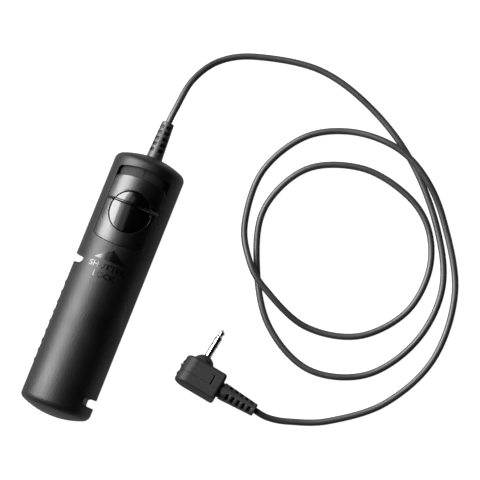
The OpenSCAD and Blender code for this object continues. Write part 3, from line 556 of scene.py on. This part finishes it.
for word, middle, width, height in marks["words"]:
    letters = bpy.data.curves.new(word, "FONT")
    letters.body = word
    letters.align_x, letters.align_y = "CENTER", "CENTER"
    letters.extrude = (marks["depth"] + marks["height"]) / 2
    letters.resolution_u = 5
    letters.offset = marks["weight"]
    sample = bpy.data.objects.new(word, letters)
    scene.collection.objects.link(sample)
    flatMesh = bpy.data.meshes.new_from_object(
        sample.evaluated_get(bpy.context.evaluated_depsgraph_get()))
    shape = bmesh.new()
    shape.from_mesh(flatMesh)
    bpy.data.meshes.remove(flatMesh)
    bpy.data.curves.remove(letters)
    bmesh.ops.remove_doubles(shape, verts=shape.verts, dist=0.0005)
    spans = []
    for axis in (0, 1):
        values = [v.co[axis] for v in shape.verts]
        spans.append((min(values), max(values)))
    (x0, x1), (y0, y1) = spans
    for v in shape.verts:
        v.co = Vector(((v.co.x - (x0 + x1) / 2) * width / (x1 - x0),
                       (v.co.y - (y0 + y1) / 2) * height / (y1 - y0) + middle,
                       v.co.z + (marks["height"] - marks["depth"]) / 2)) * mm
    finishPiece("lockWord" + word.title(), bentOn(shape), "handle", [],
                "raisedMark")
print("marks ready")

# Slide plate and button
slide = {
    "low": window["low"] + 0.12, "high": window["high"] - 3.5, "halfWidth": 9.3, "bow": 34,
    "corner": 1.4, "inner": 11.5, "outer": 12.65, "hole": 7.3, "ridgeY": buttonY + 2.7,
    "ridgeWidth": 1.0, "ridgeHeight": 0.45, "crest": 0.2, "edge": 0.12, "collar": 7.75,
    "collarHalf": 7.5, "collarLow": 8.4,
    "posts": (6.2, 7.0), "postRadius": 1.0, "postLow": 5.58, "stake": 1.4, "stakeHigh": 0.4,
}


def plateOutline():
    # Section of the plate along the handle, with the thumb ridge across it
    low, high = slide["low"] - 2, slide["high"] + 2
    ridgeY, half, crest = slide["ridgeY"], slide["ridgeWidth"] / 2, slide["crest"] / 2
    top = slide["outer"] + slide["ridgeHeight"]
    return ([(slide["outer"], low)] + ringsBetween(slide["outer"], low, ridgeY - half, 2)
            + [(slide["outer"], ridgeY - half), (top, ridgeY - crest), (top, ridgeY + crest),
               (slide["outer"], ridgeY + half)]
            + ringsBetween(slide["outer"], ridgeY + half, high, 2)
            + [(slide["outer"], high), (slide["inner"], high)]
            + ringsBetween(slide["inner"], high, low, 4) + [(slide["inner"], low)])


plate = combine(handleSpun(plateOutline(), 128, 1), uprightPrism(
    bowedOutline(slide["low"], slide["high"], slide["halfWidth"], slide["bow"],
                 slide["corner"]), 2, 16), "INTERSECT")
collar = combine(upright(0, buttonY, slide["collar"], slide["collarLow"], 13, 128),
                 box((-slide["collarHalf"], 10, axisZ), (slide["collarHalf"], 45, 40)),
                 "INTERSECT")
collar = combine(collar, handleRod(slide["outer"] - 0.5, 10, 45), "INTERSECT")
plate = combine(plate, collar, "UNION")
for sideX in (-1, 1):
    for sideY in (-1, 1):
        x, y = sideX * slide["posts"][0], buttonY + sideY * slide["posts"][1]
        plate = combine(plate, upright(x, y, slide["postRadius"], slide["postLow"] + 0.1,
                                       slide["inner"] - 0.8 - abs(x) * 0.1), "UNION")
        plate = combine(plate, upright(x, y, slide["stake"], slide["postLow"],
                                       slide["postLow"] + slide["stakeHigh"]), "UNION")
plate = combine(plate, upright(0, buttonY, slide["hole"], 5, 16, 128))
finishPiece("slidePlate", plate, "slider", ["slide_plate"], "satinSlide",
            slide["edge"])

button = {
    "radius": 7.15, "low": 7.5, "flange": 7.75, "flangeHigh": 8.3, "roof": 10, "bore": 5.65,
    "dish": 0.28, "dishSpan": 6.2, "dishShift": 1.2, "slope": 0.035, "rim": 0.22,
    "cells": 72, "stem": 1.4, "stemLow": 3.4,
}


def buttonTop(x, y):
    # Height of the button's face over the handle's axis
    height = math.sqrt(slide["outer"] ** 2 - x * x)
    above = y - slide["ridgeY"]
    half, crest = slide["ridgeWidth"] / 2, slide["crest"] / 2
    if above < -half:
        away = min(1, math.hypot(x, y - buttonY + button["dishShift"]) / button["dishSpan"])
        height -= button["dish"] * (1 - away ** 2)
    elif above > half:
        height -= button["slope"] * (above - half) ** 2
    else:
        height += slide["ridgeHeight"] * min(1, (half - abs(above)) / (half - crest))
    rim = math.hypot(x, y - buttonY) - button["radius"] + button["rim"]
    if rim > 0:
        height -= button["rim"] - math.sqrt(max(0, button["rim"] ** 2 - rim ** 2))
    return height


cap = bmesh.new()
bmesh.ops.create_grid(cap, x_segments=button["cells"], y_segments=button["cells"] * 2,
                      size=8 * mm)
bmesh.ops.translate(cap, verts=cap.verts, vec=Vector((0, buttonY, axisZ + 7.6)) * mm)
for offset in (-slide["ridgeWidth"] / 2, -slide["crest"] / 2, slide["crest"] / 2,
               slide["ridgeWidth"] / 2):
    bmesh.ops.bisect_plane(
        cap, geom=cap.verts[:] + cap.edges[:] + cap.faces[:],
        plane_co=Vector((0, slide["ridgeY"] + offset, 0)) * mm, plane_no=(0, 1, 0))
top = bmesh.ops.extrude_face_region(cap, geom=cap.faces[:])["geom"]
for part in top:
    if isinstance(part, bmesh.types.BMVert):
        part.co.z = (axisZ + buttonTop(part.co.x / mm, part.co.y / mm)) * mm
bmesh.ops.recalc_face_normals(cap, faces=cap.faces)
cap = combine(cap, upright(0, buttonY, button["radius"], 5, 16, 160), "INTERSECT")
flange = combine(upright(0, buttonY, button["flange"], button["low"], button["flangeHigh"]),
                 box((-slide["collarHalf"], 10, axisZ), (slide["collarHalf"], 45, 40)),
                 "INTERSECT")
cap = combine(cap, flange, "UNION")
cap = combine(cap, upright(0, buttonY, button["bore"], 5, button["roof"]))
cap = combine(cap, upright(0, buttonY, button["stem"], button["stemLow"],
                           button["roof"] + 0.2), "UNION")
finishPiece("releaseButton", cap, "button", ["release_button"],
            "polishedButton", smooth=50)
print("slide and button ready")

# The button's spring and the three contact leaves
spring = {"coil": 2.6, "wire": 0.2, "low": 5.62, "high": 9.78, "turns": 4.5, "steps": 32,
          "foot": 5.4, "travel": 1.4}
coil = bmesh.new()
bmesh.ops.create_circle(
    coil, cap_ends=True, segments=12, radius=spring["wire"] * mm,
    matrix=(Matrix.Translation(Vector((spring["coil"], buttonY, axisZ + spring["low"])) * mm)
            @ Matrix.Rotation(math.radians(90), 4, "X")))
springSteps = round(spring["turns"] * spring["steps"])
bmesh.ops.spin(coil, geom=coil.verts[:] + coil.edges[:] + coil.faces[:],
               cent=Vector((0, buttonY, 0)) * mm, axis=(0, 0, 1),
               dvec=(0, 0, (spring["high"] - spring["low"]) * mm / springSteps),
               angle=math.radians(360 * spring["turns"]), steps=springSteps)
springPiece = finishPiece("returnSpring", coil, "slider", ["return_spring"],
                          "springSteel")
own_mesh(springPiece)


def smoothCopy(name, node, slot, finish):
    # The frame's own shape with its corners joined, so that it can be shaded smooth
    bm = bmesh.new()
    bm.from_mesh(frame["nodes"][node].data)
    bmesh.ops.remove_doubles(bm, verts=bm.verts, dist=0.001 * mm)
    bmesh.ops.dissolve_limit(bm, angle_limit=math.radians(1), verts=bm.verts, edges=bm.edges)
    return finishPiece(name, bm, "handle", [node], finish)


# each leaf keeps this share of its height over its foot when the button is down
leaves = {"common_leaf": ("commonLeaf", 0.697), "focus_leaf": ("focusLeaf", 0.783),
          "shutter_leaf": ("shutterLeaf", 0.911)}
for node, (name, keep) in leaves.items():
    leaf = smoothCopy(name, node, "leaf_bronze", "leafBronze")
    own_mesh(leaf)
print("spring and leaves ready")

# Slotted strain reliefs
boot = {
    "length": 13.3, "bore": 1.2, "tipRound": 0.4, "rows": 5, "pitch": 2.15, "first": 2.6,
    "slotHalf": 1.2, "slotHigh": 1.15, "slotFloor": 1.55, "slotReach": 3,
    "edge": 0.07,
    "handleRoll": -7, "handleFoot": ((3.8, -4.9), (3.8, -3.4), (2.3, -3.4), (2.3, -0.12),
                                     (3.05, -0.12), (2.8, 0.5)),
    "handleTip": 2.175,
    "plugRoll": -8, "plugFoot": ((2.9, -3.2), (2.9, -2.2), (2.28, -2.2), (2.28, -0.78),
                                (2.8, -0.78), (2.8, 0), (3.15, 0)),
    "plugTip": 2.3, "plugAt": 10.3,
}


def bootShape(foot, tip, roll):
    # Strain relief along +Z from its housing at 0, with its slots
    length, ease = boot["length"], boot["tipRound"]
    outline = [(boot["bore"], foot[0][1])] + list(foot)
    outline += arc((tip - ease, length - ease), ease, 0, 90, 6)
    outline += [(boot["bore"], length)]
    shape = spun(outline, lambda r, z: (r, 0, z), (0, 0, 0), (0, 0, 1), 96, closed=True)
    slots = bmesh.new()
    size = Vector((boot["slotReach"], boot["slotHalf"] * 2, boot["slotHigh"]))
    for row in range(boot["rows"]):
        z = length - boot["first"] + boot["slotHigh"] / 2 - row * boot["pitch"]
        place = Matrix.Translation(
            Vector((boot["slotFloor"] + boot["slotReach"] / 2, 0, z)) * mm)
        for quarter in range(4):
            turn = Matrix.Rotation(math.radians(roll + 45 + 90 * quarter), 4, "Z")
            bmesh.ops.create_cube(slots, size=1,
                                  matrix=turn @ place @ Matrix.Diagonal((size * mm).to_4d()))
    return combine(shape, slots)


def movedBy(shape, matrix):
    bmesh.ops.transform(shape, matrix=matrix, verts=shape.verts)
    return shape


alongHandle = Matrix.Translation(Vector((0, handleEnd, axisZ)) * mm) @ Matrix.Rotation(
    math.radians(-90), 4, "X")
handleBoot = finishPiece(
    "handleBoot", movedBy(bootShape(boot["handleFoot"], boot["handleTip"],
                                    boot["handleRoll"]), alongHandle),
    "handle", ["handle_boot"], "bootRubber", boot["edge"])
alongPlug = plugPlace @ Matrix.Translation((boot["plugAt"] * mm, 0, 0)) @ Matrix.Rotation(
    math.radians(90), 4, "Y")
plugBoot = finishPiece(
    "plugBoot", movedBy(bootShape(boot["plugFoot"], boot["plugTip"], boot["plugRoll"]),
                        alongPlug),
    "handle", ["plug_boot"], "bootRubber", boot["edge"])
print("strain reliefs ready")

# Plug
plug = {
    "left": -6.05, "right": 9.5, "halfDepth": 5.05, "halfThick": 4.25, "edge": 1.0,
    "split": -1.15, "domeHeight": 3.0, "domeBase": 3.85, "pinHole": 1.19,
    "pinSeat": (1.85, 5.7), "cordHole": 2.32, "wall": 1.3,
    "grips": (2.1, 0.5, -2.3), "gripCentre": -2.6, "gripRadius": 3.75, "gripHalf": 0.95,
    "gripRise": 0.4, "nub": (-6.42, 0.9, 0.3), "nubRadius": 0.28,
    "latch": ((5.65, -2, 3.6), (6.15, 2.35, 6)), "latchStep": ((4.4, 2.2, 4.1), (5.9, 2.42, 6)),
    "partingEase": 0.15,
}


def alongPin(profile, centre=0):
    return spun(profile, lambda r, y: (centre + r, y, 0), (centre, 0, 0), (0, 1, 0), 96)


def plugShape():
    # Whole plug body before it is parted: a block with one round end, dome and grips
    half, depth = plug["halfThick"], plug["halfDepth"]
    x, corner = plug["right"] - plug["edge"], half - plug["edge"]
    outline = (arc((plug["left"] + half, 0), half, 90, 270, 40)
               + arc((x, -corner), plug["edge"], 270, 360, 8)
               + arc((x, corner), plug["edge"], 0, 90, 8))
    body = prism(outline, lambda a, b: (a, -depth, b), (0, 2 * depth, 0))
    rims = [e for e in body.edges if abs(abs(e.verts[0].co.y) - depth * mm) < 1e-7
            and abs(e.verts[0].co.y - e.verts[1].co.y) < 1e-7]
    bevelEdges(body, rims, plug["edge"], 6)
    ball = (plug["domeBase"] ** 2 + plug["domeHeight"] ** 2) / (2 * plug["domeHeight"])
    top = depth + plug["domeHeight"]
    start = math.degrees(math.asin((depth - top + ball) / ball))
    dome = [(0, depth - 1.5), (plug["domeBase"], depth - 1.5)]
    dome += arc((0, top - ball), ball, start, 90, 24)
    body = combine(body, alongPin(dome), "UNION")
    for y in plug["grips"]:
        radius, rise = plug["gripRadius"], plug["gripRise"]
        bump = [(0, y - plug["gripHalf"])]
        bump += [(radius - rise * (1 - math.cos(math.radians(a))), y + plug["gripHalf"] * a / 90)
                 for a in range(-90, 91, 15)]
        bump += [(0, y + plug["gripHalf"])]
        body = combine(body, alongPin(bump, centre=plug["gripCentre"]), "UNION")
    nub = bmesh.new()
    bmesh.ops.create_uvsphere(nub, u_segments=24, v_segments=12, radius=plug["nubRadius"] * mm,
                              matrix=Matrix.Translation(Vector(plug["nub"]) * mm))
    body = combine(body, nub, "UNION")
    wall = plug["wall"]
    body = combine(body, box(
        (plug["left"] + wall + 0.95, wall - depth, wall - half),
        (plug["right"] - wall, depth - 1.6, half - wall)))
    return combine(body, rod((plug["right"] - wall - 0.5, 0, 0), (plug["right"] + 1, 0, 0),
                             plug["cordHole"]))


frontSide = combine(plugShape(), box((-20, plug["split"], -20), (20, 20, 20)), "INTERSECT")
frontSide = combine(frontSide, rod((0, plug["split"] - 1, 0), (0, 12, 0), plug["pinHole"]))
frontSide = combine(frontSide, rod((0, plug["split"] - 1, 0), (0, plug["pinSeat"][1], 0),
                                   plug["pinSeat"][0]))
for low, high in (plug["latch"], plug["latchStep"]):
    frontSide = combine(frontSide, box(low, high))
plugFront = finishPiece("plugFront", movedBy(frontSide, plugPlace), "handle", ["plug_front"],
                        "plugPlastic", plug["partingEase"])
rearSide = combine(plugShape(), box((-20, -20, -20), (20, plug["split"], 20)), "INTERSECT")
plugRear = finishPiece("plugRear", movedBy(rearSide, plugPlace), "handle", ["plug_rear"],
                       "plugPlastic", plug["partingEase"])

nickel, insulator = ("plug_nickel", "polishedNickel"), ("insulator", "blackRing")
pinPieces = [
    smoothCopy("pinSleeve", "plug_sleeve", *nickel),
    smoothCopy("pinOuterRing", "plug_insulator_outer", *insulator),
    smoothCopy("pinRing", "plug_ring", *nickel),
    smoothCopy("pinInnerRing", "plug_insulator_inner", *insulator),
    smoothCopy("pinTip", "plug_tip", *nickel),
]
print("plug ready")

# Finishes for the parts that keep the frame's own shape
carried = {
    "shell_screws": "zincScrew", "slide_retainer": "innerPlastic",
    "slide_detent_spring": "springSteel", "detent_screw": "zincScrew",
    "contact_board": "greenBoard", "board_screws": "zincScrew",
    "contact_rivets": "turnedBrass", "solder_joints": "solder", "wire_common": "whiteWire",
    "wire_focus": "redWire", "wire_shutter": "yellowWire", "cord_clamp": "innerPlastic",
    "clamp_screws": "zincScrew", "plug_wires": "redWire",
}
for node, finish in carried.items():
    for place in frame["nodes"][node].material_slots:
        place.material = finishes[finish]
print("inner parts finished")

# Floor and light; thrown is the share of its light that a surface sends on the pieces
surroundings = {"floorSize": 3, "floorShade": 0.12, "floorThrown": 0.25, "skyThrown": 0.003}


def brightToLookAt(tree, strength, thrown):
    # Full brightness for the camera, and only the thrown share for every other ray
    sight = tree.nodes.new("ShaderNodeLightPath")
    glow = tree.nodes.new("ShaderNodeMapRange")
    glow.inputs["To Min"].default_value = thrown
    tree.links.new(sight.outputs["Is Camera Ray"], glow.inputs["Value"])
    tree.links.new(glow.outputs["Result"], strength)


floorMesh = bmesh.new()
bmesh.ops.create_grid(floorMesh, x_segments=1, y_segments=1, size=surroundings["floorSize"])
floor = placed("floor", floorMesh)
floorFinish = bpy.data.materials.new("paleFloor")
floorFinish.use_nodes = True
floorShader = floorFinish.node_tree.nodes["Principled BSDF"]
floorShader.inputs["Base Color"].default_value = (*[surroundings["floorShade"]] * 3, 1)
floorShader.inputs["Roughness"].default_value = 0.9
floorShader.inputs["Specular IOR Level"].default_value = 0.1
floorShader.inputs["Emission Color"].default_value = (1, 1, 1, 1)
brightToLookAt(floorFinish.node_tree, floorShader.inputs["Emission Strength"],
               surroundings["floorThrown"])
floor.data.materials.append(floorFinish)

# Soft lamps at the left: heights over the table and turn in degrees, width in metres;
# the upper ones are dimmer, so that the light fades towards the zenith
lamps = {
    "window": {"from": 15, "to": 55, "turn": 168, "width": 1.1, "glow": 20},
    "shoulder": {"from": 55, "to": 66, "turn": 168, "width": 0.9, "glow": 4},
    "haze": {"from": 66, "to": 82, "turn": 168, "width": 0.7, "glow": 0.8},
}
lampDistance = 0.9
for name, lamp in lamps.items():
    middle = math.radians((lamp["from"] + lamp["to"]) / 2)
    half = math.radians((lamp["to"] - lamp["from"]) / 2)
    turn = math.radians(lamp["turn"])
    toLamp = Vector((math.cos(middle) * math.cos(turn), math.cos(middle) * math.sin(turn),
                     math.sin(middle)))
    light = bpy.data.lights.new(name, "AREA")
    light.shape = "RECTANGLE"
    light.size, light.size_y = lamp["width"], 2 * lampDistance * math.tan(half)
    light.energy = lamp["glow"] * math.pi * light.size * light.size_y
    lampObject = bpy.data.objects.new(name, light)
    lampObject.location = toLamp * lampDistance
    lampObject.rotation_euler = (-toLamp).to_track_quat("-Z", "Y").to_euler()
    scene.collection.objects.link(lampObject)
world = bpy.data.worlds.new("world")
world.use_nodes = True
background = world.node_tree.nodes["Background"]
background.inputs["Color"].default_value = (1, 1, 1, 1)
brightToLookAt(world.node_tree, background.inputs["Strength"], surroundings["skyThrown"])
scene.world = world
scene.view_settings.view_transform = "Standard"
